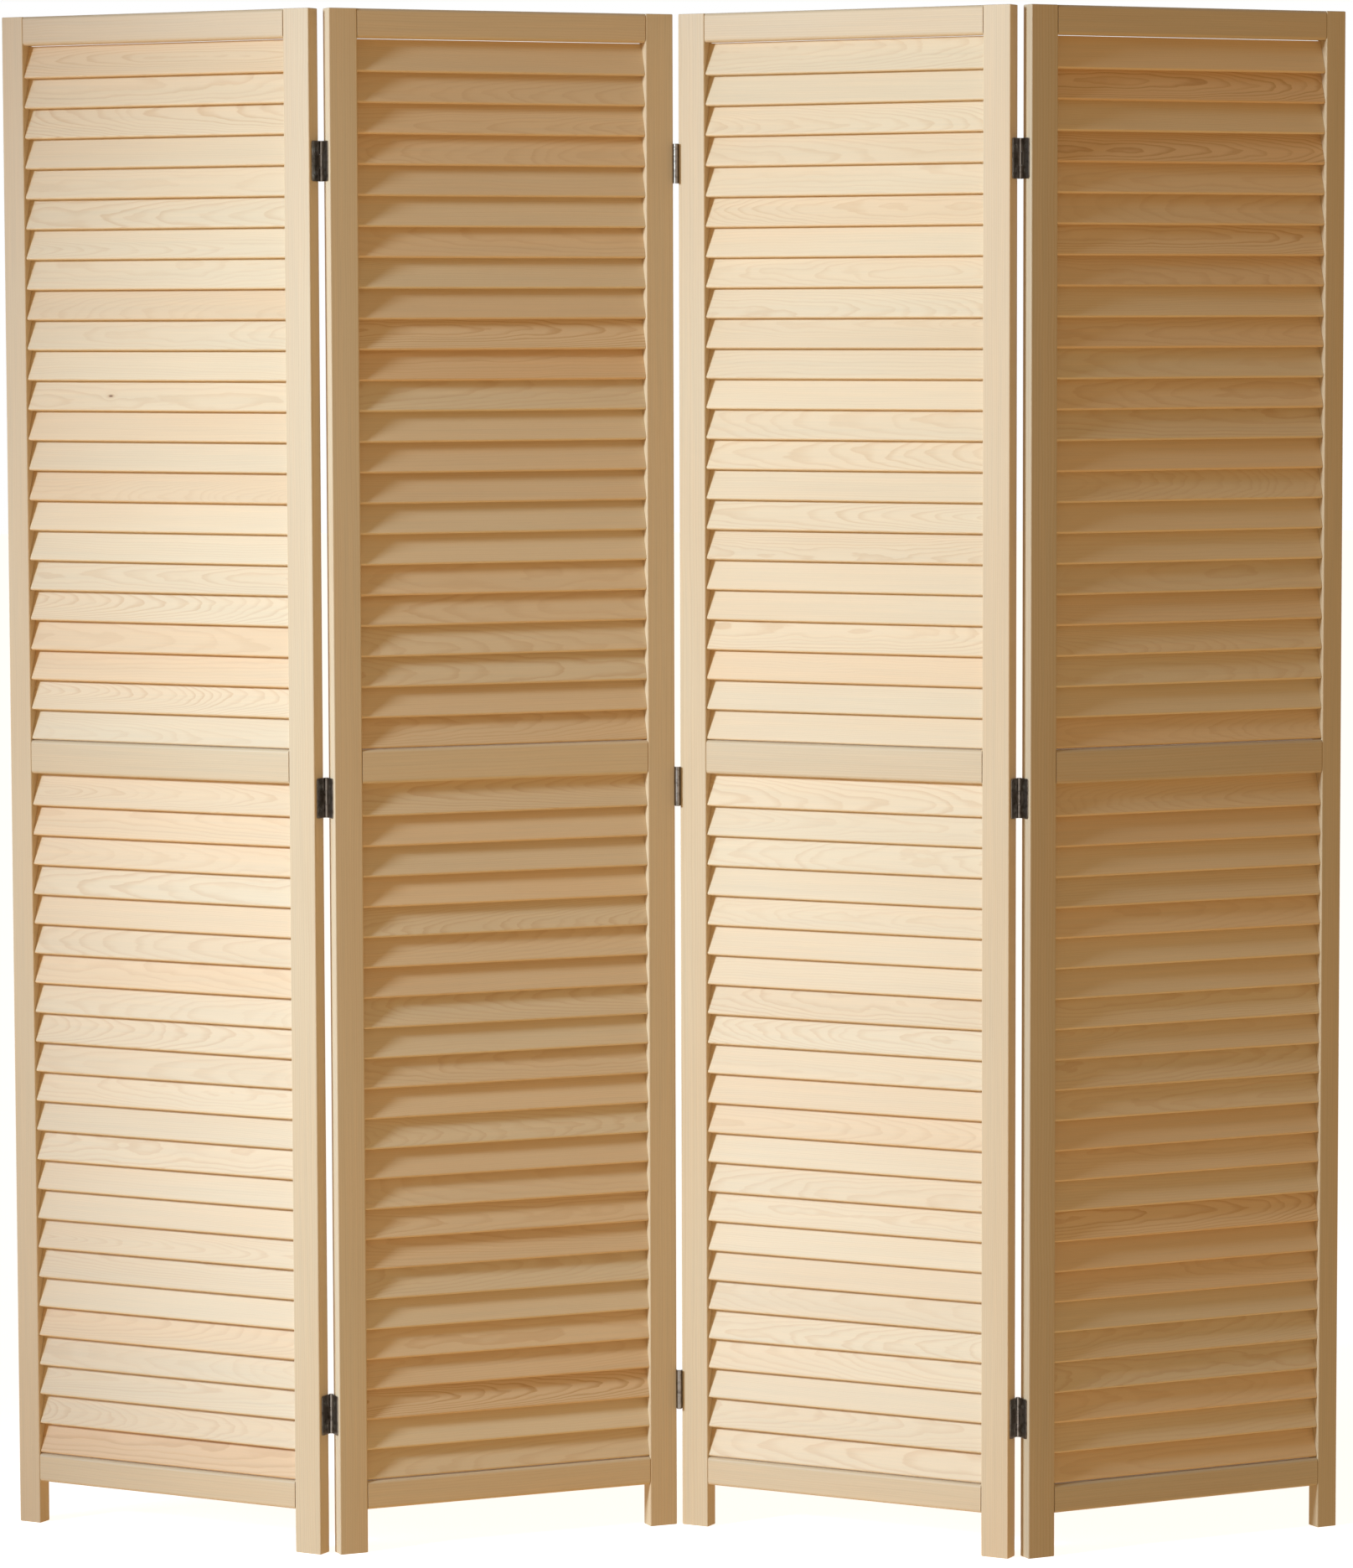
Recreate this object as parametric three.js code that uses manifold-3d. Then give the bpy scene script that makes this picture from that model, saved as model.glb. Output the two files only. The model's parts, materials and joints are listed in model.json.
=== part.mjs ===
// Folding louvred room divider: four softwood panels joined by nine butt hinges.
// Each panel is a mortised frame of two stiles and three rails, with two rows of
// tilted, overlapping slats housed in the stiles.
// Millimetres, +Z up. A panel's own frame has X along its width, from the outer edge
// of its left stile, Y from its front face to its back face, and Z up from the floor.
import * as THREE from 'three';
import { mergeVertices } from 'three/addons/utils/BufferGeometryUtils.js';
import Module from 'manifold-3d';

const wasm = await Module();
wasm.setup();

// ---------------------------------------------------------------- driving dimensions

// Frame of one panel
const panelThickness = 19;
const stileWidth = 33;
const leftEndStileWidth = 28; // the screen's two outer stiles are planed narrower
const rightEndStileWidth = 25;
const openingWidth = 339; // clear width between a panel's two stiles
const footHeight = 48; // floor to the underside of the bottom rail
const bottomRailHeight = 32;
const middleRailHeight = 37.6;
const topRailHeight = 32;
const stileEase = 1; // flat worked on a stile's long edges
const railEase = 2.5; // flat worked on a rail's long edges

// Stub tenons on the rails
const tenonLength = 15;
const tenonThickness = 7;
const tenonShoulder = 6; // wood left above and below a tenon

// Slats
const slatsPerRow = 23;
const slatPitch = 33.55;
const slatWidth = 37;
const slatThickness = 4.5;
const slatEase = 1.5; // flat worked on the two corners that show
const slatFrontSetback = 2; // front face of the stile to the row of slats
const slatBackSetback = 1.9; // row of slats to the back face of the stile
const slatHousing = 6; // how far a slat's end enters the stile

// Hinges
const hingeHeight = 44;
const leafThickness = 1;
const leafSetback = 3.6; // free edge of a leaf to the far face of the panel
const pinRadius = 1.3;
const knuckleWall = 1.1;
const knuckleCount = 3;
const barrelSides = 10;
const screwSpacing = 26;
const screwHeadRadius = 2.8;
const screwShankRadius = 1.6;
const screwSides = 8;
const lowHingeHeight = 155; // floor to the middle of the hinge
const middleHingeHeight = 840;
const topHingeDrop = 165; // top of the stile to the middle of the hinge

// Clearance between pieces that touch, slide or turn on each other
const fitGap = 0.3;

// How the screen stands: the turn of each panel away from a straight line, in degrees
const panelTurns = [-27.5, 23, -27.5, 25.5];

// Which face of the screen the knuckles of each fold are on
const folds = [
  { name: 'fold_1_2', knuckles: 'back' },
  { name: 'fold_2_3', knuckles: 'front' },
  { name: 'fold_3_4', knuckles: 'back' },
];

// ---------------------------------------------------------------- worked-out sizes

// A slat leans back until its eased edges just fill the depth between the two setbacks.
const slatDepth = panelThickness - slatFrontSetback - slatBackSetback;
const slatFlat = slatWidth - 2 * slatEase;
const slatLean = Math.asin(slatDepth / Math.hypot(slatFlat, slatThickness))
  - Math.atan2(slatThickness, slatFlat);

const knuckleBore = pinRadius + fitGap;
const knuckleRadius = knuckleBore + knuckleWall;
const knuckleLength = (hingeHeight - (knuckleCount - 1) * fitGap) / knuckleCount;
const leafGap = fitGap; // leaf to the plane through the pin's axis
const hingeHalfGap = fitGap + leafThickness + leafGap; // stile's edge to the pin's axis
const pinStandOff = knuckleRadius + fitGap; // panel's face to the pin's axis
const cutMargin = 1; // how far a cutter runs past the face it opens

// ---------------------------------------------------------------- solids

function toSolid(geometry) {
  const bare = geometry.clone();
  bare.deleteAttribute('normal');
  bare.deleteAttribute('uv');
  const merged = mergeVertices(bare, 1e-4);
  return new wasm.Manifold(new wasm.Mesh({
    numProp: 3,
    vertProperties: new Float32Array(merged.attributes.position.array),
    triVerts: new Uint32Array(merged.index.array),
  }));
}

function toGeometry(solid) {
  const mesh = solid.getMesh();
  const geometry = new THREE.BufferGeometry();
  geometry.setAttribute('position', new THREE.BufferAttribute(mesh.vertProperties, 3));
  geometry.setIndex(new THREE.BufferAttribute(mesh.triVerts, 1));
  geometry.computeVertexNormals();
  return geometry;
}

const joined = (solids) => solids.reduce((whole, piece) => whole.add(piece));

// A box from its lowest corner and its size.
function block([x, y, z], [width, depth, height]) {
  const geometry = new THREE.BoxGeometry(width, depth, height);
  return geometry.translate(x + width / 2, y + depth / 2, z + height / 2);
}

// A rectangle about the origin with a flat worked on each corner.
function easedRectangle(width, height, ease) {
  const x = width / 2;
  const y = height / 2;
  return new THREE.Shape([
    new THREE.Vector2(-x + ease, -y), new THREE.Vector2(x - ease, -y),
    new THREE.Vector2(x, -y + ease), new THREE.Vector2(x, y - ease),
    new THREE.Vector2(x - ease, y), new THREE.Vector2(-x + ease, y),
    new THREE.Vector2(-x, y - ease), new THREE.Vector2(-x, -y + ease),
  ]);
}

const extrude = (shape, depth) => new THREE.ExtrudeGeometry(shape, { depth, bevelEnabled: false });

// A profile drawn in (depth, height) and run along a panel's width.
function runAlongWidth(shape, length) {
  const axes = new THREE.Matrix4().makeBasis(
    new THREE.Vector3(0, 1, 0),
    new THREE.Vector3(0, 0, 1),
    new THREE.Vector3(1, 0, 0),
  );
  return extrude(shape, length).applyMatrix4(axes);
}

// ---------------------------------------------------------------- slats

// One slat about its own middle, lower edge forward and upper edge back. Only its lower
// front corner and its upper back corner show, and those two are eased.
function slatGeometry(length) {
  const x = slatThickness / 2;
  const y = slatWidth / 2;
  const profile = new THREE.Shape([
    new THREE.Vector2(-x + slatEase, -y), new THREE.Vector2(x, -y),
    new THREE.Vector2(x, y - slatEase), new THREE.Vector2(x - slatEase, y),
    new THREE.Vector2(-x, y), new THREE.Vector2(-x, -y + slatEase),
  ]);
  return runAlongWidth(profile, length).rotateX(-slatLean);
}

// The mortise that takes a slat's end, square in section and clear of it all round.
function slatMortiseGeometry(length) {
  const thickness = slatThickness + 2 * fitGap;
  const width = slatWidth + 2 * fitGap;
  const x = thickness / 2;
  const y = width / 2;
  const profile = new THREE.Shape([
    new THREE.Vector2(-x, -y), new THREE.Vector2(x, -y),
    new THREE.Vector2(x, y), new THREE.Vector2(-x, y),
  ]);
  return runAlongWidth(profile, length).rotateX(-slatLean);
}

function heightOf(geometry) {
  geometry.computeBoundingBox();
  return geometry.boundingBox.max.z - geometry.boundingBox.min.z;
}

const slatHeight = heightOf(slatGeometry(openingWidth));
const rowHeight = (slatsPerRow - 1) * slatPitch + slatHeight + 2 * fitGap;

// Heights above the floor
const bottomRailTop = footHeight + bottomRailHeight;
const middleRailFoot = bottomRailTop + rowHeight;
const middleRailTop = middleRailFoot + middleRailHeight;
const topRailFoot = middleRailTop + rowHeight;
const panelHeight = topRailFoot + topRailHeight;

const rails = [
  { name: 'bottom_rail', foot: footHeight, height: bottomRailHeight },
  { name: 'middle_rail', foot: middleRailFoot, height: middleRailHeight },
  { name: 'top_rail', foot: topRailFoot, height: topRailHeight },
];

function slatCentres() {
  const centres = [];
  for (const rowFoot of [bottomRailTop, middleRailTop]) {
    const lowest = rowFoot + fitGap + slatHeight / 2;
    for (let i = 0; i < slatsPerRow; i += 1) centres.push(lowest + i * slatPitch);
  }
  return centres;
}

const slatMiddleDepth = slatFrontSetback + slatDepth / 2;

// ---------------------------------------------------------------- rails

// A bar along the width, tenonThickness deep and set in from the rail's edges.
function tenonBar(rail, x, length, clearance) {
  const thickness = tenonThickness + 2 * clearance;
  const height = rail.height - 2 * tenonShoulder + 2 * clearance;
  const depth = (panelThickness - thickness) / 2;
  const foot = rail.foot + tenonShoulder - clearance;
  return toSolid(block([x, depth, foot], [length, thickness, height]));
}

function makeRail(rail, leftEdge) {
  const length = openingWidth - 2 * fitGap;
  const profile = easedRectangle(panelThickness, rail.height, railEase);
  const body = runAlongWidth(profile, length)
    .translate(leftEdge + fitGap, panelThickness / 2, rail.foot + rail.height / 2);
  const tenons = tenonBar(rail, leftEdge - tenonLength, openingWidth + 2 * tenonLength, 0);
  return toGeometry(toSolid(body).add(tenons));
}

// ---------------------------------------------------------------- stiles

function stileBlank(left, width) {
  const profile = easedRectangle(width, panelThickness, stileEase);
  return toSolid(extrude(profile, panelHeight).translate(left + width / 2, panelThickness / 2, 0));
}

// Mortises for the three rails, opening through the stile's inner face.
function railMortises(innerFace, direction) {
  const depth = tenonLength + fitGap;
  const length = depth + cutMargin;
  const x = direction > 0 ? innerFace - cutMargin : innerFace - depth;
  return joined(rails.map((rail) => tenonBar(rail, x, length, fitGap)));
}

// The left stile carries the slats, which are let into it and glued.
function makeSlattedStile(width) {
  const stile = stileBlank(0, width).subtract(railMortises(width, -1));
  const length = openingWidth + 2 * slatHousing;
  const slats = slatCentres().map((height) => toSolid(
    slatGeometry(length).translate(width - slatHousing, slatMiddleDepth, height),
  ));
  return toGeometry(stile.add(joined(slats)));
}

// The right stile is pushed on over the free ends of the slats and the rails' tenons.
function makeMortisedStile(left, width) {
  const mortises = slatCentres().map((height) => toSolid(
    slatMortiseGeometry(slatHousing + fitGap + cutMargin)
      .translate(left - cutMargin, slatMiddleDepth, height),
  ));
  const stile = stileBlank(left, width).subtract(railMortises(left, 1));
  return toGeometry(stile.subtract(joined(mortises)));
}

// ---------------------------------------------------------------- hinges

// Hinge pieces are drawn about the pin's axis: Z along the pin, the stile's edge on
// the -X side and the panel's body towards -Y.
function knuckleCylinder(radius, foot, length) {
  return toSolid(new THREE.CylinderGeometry(radius, radius, length, barrelSides)
    .rotateX(Math.PI / 2)
    .translate(0, 0, foot + length / 2));
}

// A polygon that holds a circle of this radius inside its flats.
const aroundCircle = (radius, sides) => radius / Math.cos(Math.PI / sides);

// A countersunk hole through the leaf, widest on the side away from the wood.
function countersink(y, z) {
  const slope = (screwHeadRadius - screwShankRadius) / leafThickness;
  const wide = screwHeadRadius + slope * cutMargin / 2;
  const narrow = screwShankRadius - slope * cutMargin / 2;
  const length = leafThickness + cutMargin;
  const middle = -leafGap - leafThickness / 2;
  return toSolid(new THREE.CylinderGeometry(wide, narrow, length, screwSides)
    .rotateZ(-Math.PI / 2)
    .translate(middle, y, z));
}

function makeLeaf(ownKnuckles) {
  const inner = -leafGap - leafThickness;
  const free = -pinStandOff - panelThickness + leafSetback;
  const foot = -hingeHeight / 2;
  const plateDepth = -pinStandOff - free;
  const solids = [toSolid(block([inner, free, foot], [leafThickness, plateDepth, hingeHeight]))];
  for (const index of ownKnuckles) {
    const start = foot + index * (knuckleLength + fitGap);
    const tab = block([inner, free, start], [leafThickness, -free, knuckleLength]);
    solids.push(toSolid(tab), knuckleCylinder(knuckleRadius, start, knuckleLength));
  }
  const bore = knuckleCylinder(
    aroundCircle(knuckleBore, barrelSides), foot - cutMargin, hingeHeight + 2 * cutMargin,
  );
  const screwLine = free + plateDepth / 2;
  const holes = [-1, 1].map((side) => countersink(screwLine, side * screwSpacing / 2));
  return toGeometry(joined(solids).subtract(bore).subtract(joined(holes)));
}

function makePin() {
  const geometry = new THREE.CylinderGeometry(pinRadius, pinRadius, hingeHeight, barrelSides);
  return geometry.rotateX(Math.PI / 2);
}

// ---------------------------------------------------------------- assembly

const pine = () => new THREE.MeshStandardMaterial({ color: 0xdfbf92, roughness: 0.55, metalness: 0 });
const steel = () => new THREE.MeshStandardMaterial({ color: 0xb9b8b2, roughness: 0.35, metalness: 1 });

function named(name, geometry, material) {
  const mesh = new THREE.Mesh(geometry, material);
  mesh.name = name;
  return mesh;
}

const panels = panelTurns.map((turn, i) => {
  const leftWidth = i === 0 ? leftEndStileWidth : stileWidth;
  const rightWidth = i === panelTurns.length - 1 ? rightEndStileWidth : stileWidth;
  return {
    name: `panel_${i + 1}`,
    turn: THREE.MathUtils.degToRad(turn),
    leftWidth,
    rightWidth,
    width: leftWidth + openingWidth + rightWidth,
    group: new THREE.Group(),
  };
});

function fillPanel({ group, name, leftWidth, rightWidth }) {
  const rightStile = makeMortisedStile(leftWidth + openingWidth, rightWidth);
  group.add(named(`${name}_left_stile_with_slats`, makeSlattedStile(leftWidth), pine()));
  group.add(named(`${name}_right_stile`, rightStile, pine()));
  for (const rail of rails) {
    group.add(named(`${name}_${rail.name}`, makeRail(rail, leftWidth), pine()));
  }
}

// Where a fold's pins stand in the frames of the panels on its two sides.
function pinPlaces(fold, leftPanel) {
  const depth = fold.knuckles === 'back' ? panelThickness + pinStandOff : -pinStandOff;
  return {
    onLeft: new THREE.Vector3(leftPanel.width + hingeHalfGap, depth, 0),
    onRight: new THREE.Vector3(-hingeHalfGap, depth, 0),
  };
}

const upright = new THREE.Vector3(0, 0, 1);

// Stands each panel at its turn, with its left pins on the right pins of the one before.
function standPanels() {
  panels.forEach((panel, i) => {
    panel.group.rotation.z = panel.turn;
    if (i === 0) return;
    const before = panels[i - 1];
    const { onLeft, onRight } = pinPlaces(folds[i - 1], before);
    const pin = onLeft.clone().applyAxisAngle(upright, before.turn).add(before.group.position);
    panel.group.position.copy(pin.sub(onRight.applyAxisAngle(upright, panel.turn)));
  });
}

const hingePlaces = [
  { name: 'low', height: lowHingeHeight },
  { name: 'middle', height: middleHingeHeight },
  { name: 'top', height: panelHeight - topHingeDrop },
];

function placed(mesh, place, height, turnX, turnZ) {
  mesh.position.set(place.x, place.y, height);
  mesh.rotation.set(turnX, 0, turnZ);
  return mesh;
}

const knuckles = Array.from({ length: knuckleCount }, (_, index) => index);
const leftKnuckles = knuckles.filter((index) => index % 2 === 0);
const rightKnuckles = knuckles.filter((index) => index % 2 === 1);

// The left leaf carries the outer knuckles and the pin, and the right leaf, turned about
// to face it, carries the knuckles between them.
function hangHinges(fold, leftPanel, rightPanel) {
  const { onLeft, onRight } = pinPlaces(fold, leftPanel);
  const atBack = fold.knuckles === 'back';
  for (const { name, height } of hingePlaces) {
    const hinge = `${fold.name}_${name}_hinge`;
    const leftLeaf = named(`${hinge}_left_leaf`, makeLeaf(leftKnuckles), steel());
    const rightLeaf = named(`${hinge}_right_leaf`, makeLeaf(rightKnuckles), steel());
    const pin = named(`${hinge}_pin`, makePin(), steel());
    leftPanel.group.add(placed(leftLeaf, onLeft, height, atBack ? 0 : Math.PI, 0));
    leftPanel.group.add(placed(pin, onLeft, height, 0, 0));
    rightPanel.group.add(placed(rightLeaf, onRight, height, atBack ? Math.PI : 0, Math.PI));
  }
}

const screen = new THREE.Group();
panels.forEach((panel) => {
  fillPanel(panel);
  screen.add(panel.group);
});
standPanels();
folds.forEach((fold, i) => hangHinges(fold, panels[i], panels[i + 1]));

// The origin is on the floor under the middle of the screen.
screen.updateMatrixWorld(true);
const bounds = new THREE.Box3().setFromObject(screen, true);
const middle = bounds.getCenter(new THREE.Vector3());
screen.position.set(-middle.x, -middle.y, -bounds.min.z);

export default screen;
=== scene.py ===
import json
import math
import random

import bmesh
import bpy
from mathutils import Matrix, Vector


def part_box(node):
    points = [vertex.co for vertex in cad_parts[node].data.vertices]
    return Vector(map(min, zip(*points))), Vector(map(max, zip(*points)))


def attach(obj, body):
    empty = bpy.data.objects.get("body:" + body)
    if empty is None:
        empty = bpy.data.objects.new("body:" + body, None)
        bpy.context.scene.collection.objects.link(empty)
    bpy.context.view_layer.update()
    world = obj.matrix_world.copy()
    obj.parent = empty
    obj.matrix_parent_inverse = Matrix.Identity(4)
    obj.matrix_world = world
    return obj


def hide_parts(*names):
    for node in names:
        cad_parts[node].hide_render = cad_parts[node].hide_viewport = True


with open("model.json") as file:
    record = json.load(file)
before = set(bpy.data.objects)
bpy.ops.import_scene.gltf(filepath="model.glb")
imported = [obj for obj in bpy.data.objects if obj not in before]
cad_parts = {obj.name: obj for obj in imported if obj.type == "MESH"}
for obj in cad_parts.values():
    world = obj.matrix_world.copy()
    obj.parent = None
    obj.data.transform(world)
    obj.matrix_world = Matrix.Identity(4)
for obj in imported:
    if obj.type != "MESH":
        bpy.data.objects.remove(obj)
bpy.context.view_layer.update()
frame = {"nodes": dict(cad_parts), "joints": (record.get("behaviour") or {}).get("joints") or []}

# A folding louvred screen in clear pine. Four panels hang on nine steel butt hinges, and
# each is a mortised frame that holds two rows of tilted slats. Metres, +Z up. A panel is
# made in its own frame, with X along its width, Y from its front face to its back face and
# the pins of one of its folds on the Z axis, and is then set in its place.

MM = 0.001
X, Y, Z = range(3)

# ------------------------------------------------------------------ sizes

# How the screen stands: each panel's turn away from a straight line, in degrees
PANEL_TURNS = {"panel_1": -27.5, "panel_2": 23.0, "panel_3": -27.5, "panel_4": 25.5}
# The fold whose pins stand on the Z axis of a panel's own frame
PANEL_FOLDS = {
    "panel_1": "fold_1_2", "panel_2": "fold_1_2",
    "panel_3": "fold_2_3", "panel_4": "fold_3_4",
}
# Each fold's left panel, right panel, and the face of the screen that its knuckles are on
FOLDS = {
    "fold_1_2": ("panel_1", "panel_2", "back"),
    "fold_2_3": ("panel_2", "panel_3", "front"),
    "fold_3_4": ("panel_3", "panel_4", "back"),
}
RAILS = ("bottom_rail", "middle_rail", "top_rail")
HINGES = ("low", "middle", "top")

FIT_GAP = 0.3 * MM  # between pieces that touch
CUT_MARGIN = 1 * MM  # how far a cutter runs past the face that it opens
SAME_PLACE = 0.01 * MM  # what is nearer than this is in the same place
SAME_POINT = 0.001 * MM  # and points nearer than this become one
ALIGNED = 0.9  # cosine of the angle up to which a direction passes for an axis

STILE_EASE = 1.6 * MM  # radius of a stile's long edges
STILE_END_EASE = 0.9 * MM
RAIL_EASE = 3.8 * MM  # radius of a rail's long edges
TENON_LENGTH = 15 * MM
TENON_SHOULDER = 6 * MM  # wood left on each side of a tenon
TENON_EASE = 0.6 * MM

SLATS_PER_ROW = 23
SLAT_PITCH = 33.55 * MM
SLAT_WIDTH = 37 * MM
SLAT_THICKNESS = 4.5 * MM
SLAT_NOSE = 1.9 * MM  # radius of the two slat edges that show
SLAT_EASE = 0.7 * MM  # radius of the two that don't
SLAT_LEAN_EASE = 1.5 * MM  # left off each edge of a slat where its lean is worked out
SLAT_HOUSING = 6 * MM  # how far a slat's end enters a stile
SLAT_SETBACKS = (2.0 * MM, 1.9 * MM)  # from the stile's front face and back face to the slats

HINGE_HEIGHT = 44 * MM
LEAF_THICKNESS = 1 * MM
LEAF_SETBACK = 3.6 * MM  # free edge of a leaf to the far face of the panel
LEAF_CORNER = 2.5 * MM
LEAF_EDGE_EASE = 0.12 * MM
PIN_RADIUS = 1.3 * MM
PIN_END_EASE = 0.35 * MM
PIN_SIDES = 28
KNUCKLE_WALL = 1.1 * MM
KNUCKLE_COUNT = 3
KNUCKLE_STEPS = 30
KNUCKLE_SEAM = math.radians(14)  # opening left where the rolled knuckle meets its leaf
KNUCKLE_START = math.radians(-100)  # where about the pin the roll begins
TAB_OVERLAP = 0.5 * MM  # how far the tab that bears a knuckle reaches into its leaf
TAB_SETBACK = 0.3 * MM  # and how far from the knuckle's bore it stops
SCREW_SPACING = 26 * MM
SCREW_HEAD_RADIUS = 2.7 * MM
SCREW_SHANK_RADIUS = 1.5 * MM
SCREW_TIP_RADIUS = 0.3 * MM
SCREW_LENGTH = 12 * MM
SCREW_SIDES = 24
SCREW_SINK = 0.08 * MM  # head below the face of its leaf
SCREW_RIM_EASE = 0.12 * MM
SCREW_CLEARANCE = 0.1 * MM  # round the screw, in the leaf's countersunk hole
SCREW_TURNS = (3, 37)  # how the driver left the lower and the upper screw, in degrees
SHANK_OVERLAP = 0.2 * MM  # how far the shank reaches into the head
RECESS_WIDTH = 0.7 * MM
RECESS_SPAN = 3.0 * MM
RECESS_DEPTH = 0.8 * MM
RECESS_EASE = 0.48 * MM
PILOT_CLEARANCE = 0.15 * MM  # round the shank, in the stile's pilot hole
PILOT_TIP_RADIUS = 0.6 * MM
PILOT_SIDES = 12

WOOD_SMOOTHING = 40  # degrees: edges sharper than this stay edges
STEEL_SMOOTHING = 35

# ------------------------------------------------------------------ camera

PHOTO_HEIGHT = 1871  # pixels
FOCAL_LENGTH = 6798.2  # pixels
SENSOR = 36.0  # millimetres, along the photograph's longer side
CAMERA_PLACE = Vector((0.0176, -6.3019, 1.3645))
CAMERA_YAW, CAMERA_PITCH, CAMERA_ROLL = (math.radians(turn) for turn in (-0.128, -4.682, -0.169))
CAMERA_RANGE = (0.05, 200)  # the nearest and the farthest that it shows


def make_camera():
    """The photograph's view, found from the screen's own edges."""
    level = Vector((math.cos(CAMERA_YAW), -math.sin(CAMERA_YAW), 0))
    forward = Vector((math.sin(CAMERA_YAW) * math.cos(CAMERA_PITCH),
                      math.cos(CAMERA_YAW) * math.cos(CAMERA_PITCH),
                      math.sin(CAMERA_PITCH)))
    plumb = level.cross(forward)
    right = level * math.cos(CAMERA_ROLL) + plumb * math.sin(CAMERA_ROLL)
    up = plumb * math.cos(CAMERA_ROLL) - level * math.sin(CAMERA_ROLL)
    camera = bpy.data.cameras.new("camera")
    camera.sensor_width = SENSOR
    camera.lens = FOCAL_LENGTH / PHOTO_HEIGHT * SENSOR
    camera.clip_start, camera.clip_end = CAMERA_RANGE
    holder = bpy.data.objects.new("camera", camera)
    bpy.context.scene.collection.objects.link(holder)
    axes = Matrix((right, up, -forward)).transposed().to_4x4()
    holder.matrix_world = Matrix.Translation(CAMERA_PLACE) @ axes
    bpy.context.scene.camera = holder


# ------------------------------------------------------------------ shader maths


class Value:
    """A socket of a material's nodes that takes arithmetic."""

    def __init__(self, paint, socket):
        self.paint, self.socket = paint, socket

    def maths(self, operation, *terms):
        return self.paint.node("ShaderNodeMath", {"operation": operation}, dict(enumerate(terms)))

    def __add__(self, other):
        return self.maths("ADD", self, other)

    def __radd__(self, other):
        return self.maths("ADD", other, self)

    def __sub__(self, other):
        return self.maths("SUBTRACT", self, other)

    def __rsub__(self, other):
        return self.maths("SUBTRACT", other, self)

    def __mul__(self, other):
        return self.maths("MULTIPLY", self, other)

    def __rmul__(self, other):
        return self.maths("MULTIPLY", other, self)

    def __truediv__(self, other):
        return self.maths("DIVIDE", self, other)

    def __rtruediv__(self, other):
        return self.maths("DIVIDE", other, self)

    def __pow__(self, other):
        return self.maths("POWER", self, other)


class Paint:
    """The nodes of one material, floor or sky."""

    def __init__(self, owner, output="ShaderNodeOutputMaterial"):
        owner.use_nodes = True
        self.tree = owner.node_tree
        self.tree.nodes.clear()
        self.output = self.tree.nodes.new(output)

    def node(self, kind, settings=None, sockets=None, output=0):
        """Adds a node, sets it up, and gives its sockets their values or links."""
        made = self.tree.nodes.new(kind)
        for name, setting in (settings or {}).items():
            setattr(made, name, setting)
        for key, value in (sockets or {}).items():
            if isinstance(value, Value):
                self.tree.links.new(value.socket, made.inputs[key])
            else:
                made.inputs[key].default_value = value
        return Value(self, made.outputs[output])

    def finish(self, shader):
        self.tree.links.new(shader.socket, self.output.inputs["Surface"])

    def split(self, attribute):
        """The three numbers that a piece holds under this name."""
        held = self.node("ShaderNodeAttribute", {"attribute_name": attribute}, output="Vector")
        parts = self.node("ShaderNodeSeparateXYZ", sockets={0: held}).socket.node.outputs
        return [Value(self, part) for part in parts]

    def join(self, x, y, z):
        return self.node("ShaderNodeCombineXYZ", sockets={0: x, 1: y, 2: z})

    def noise(self, place, detail=2.0, roughness=0.5):
        """Soft noise about 0, from -0.5 to 0.5, with features about one unit wide."""
        sockets = {"Vector": place, "Scale": 1.0, "Detail": detail, "Roughness": roughness}
        return self.node("ShaderNodeTexNoise", sockets=sockets, output="Fac") - 0.5

    def rise(self, value, start, end):
        """Goes smoothly from 0 to 1 as the value goes from start to end."""
        settings = {"interpolation_type": "SMOOTHSTEP"}
        return self.node("ShaderNodeMapRange", settings, {0: value, 1: start, 2: end})

    def mix(self, share, first, second):
        settings = {"data_type": "RGBA", "clamp_factor": True}
        return self.node("ShaderNodeMix", settings, {0: share, 6: first, 7: second}, output=2)

    def scaled(self, colour, amount):
        sockets = {0: colour, "Scale": amount}
        return self.node("ShaderNodeVectorMath", {"operation": "SCALE"}, sockets)

    def bump(self, height, strength, distance):
        sockets = {"Strength": strength, "Distance": distance, "Height": height}
        return self.node("ShaderNodeBump", sockets=sockets)


def colour(red, green, blue):
    return (red, green, blue, 1.0)


# ------------------------------------------------------------------ sky, floor, lamps

SKY_FILL = colour(0.238, 0.166, 0.092)  # warm light from all round, for the shaded sides
FLOOR_BOUNCE = colour(0.30, 0.22, 0.14)  # the share of the lamps' light that it sends back
FLOOR_FILL = colour(0.575, 0.385, 0.16)  # warm light from below
FLOOR_GLOW = 0.85  # keeps the floor pale to the eye, round the screen's shadow
FLOOR_SIZE = 60
KEY_POWER, KEY_COLOUR = 1515, (0.70, 0.86, 1.0)
KEY_PLACE, KEY_AIM = Vector((-4.76, -2.90, 2.51)), Vector((0.82, -1.60, 0.70))
KEY_SPREAD = math.radians(55.2)
KEY_SOFTNESS = 0.574  # how much of the cone its edge fades over
KEY_RADIUS = 0.40
WINDOW_POWER, WINDOW_COLOUR = 700, (0.12, 0.39, 1.0)
WINDOW_PLACE, WINDOW_AIM = Vector((-18.14, -7.33, 5.01)), Vector((0, 0, 0.85))
WINDOW_WIDTH = 4.5
WHITE = colour(1, 1, 1)


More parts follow.
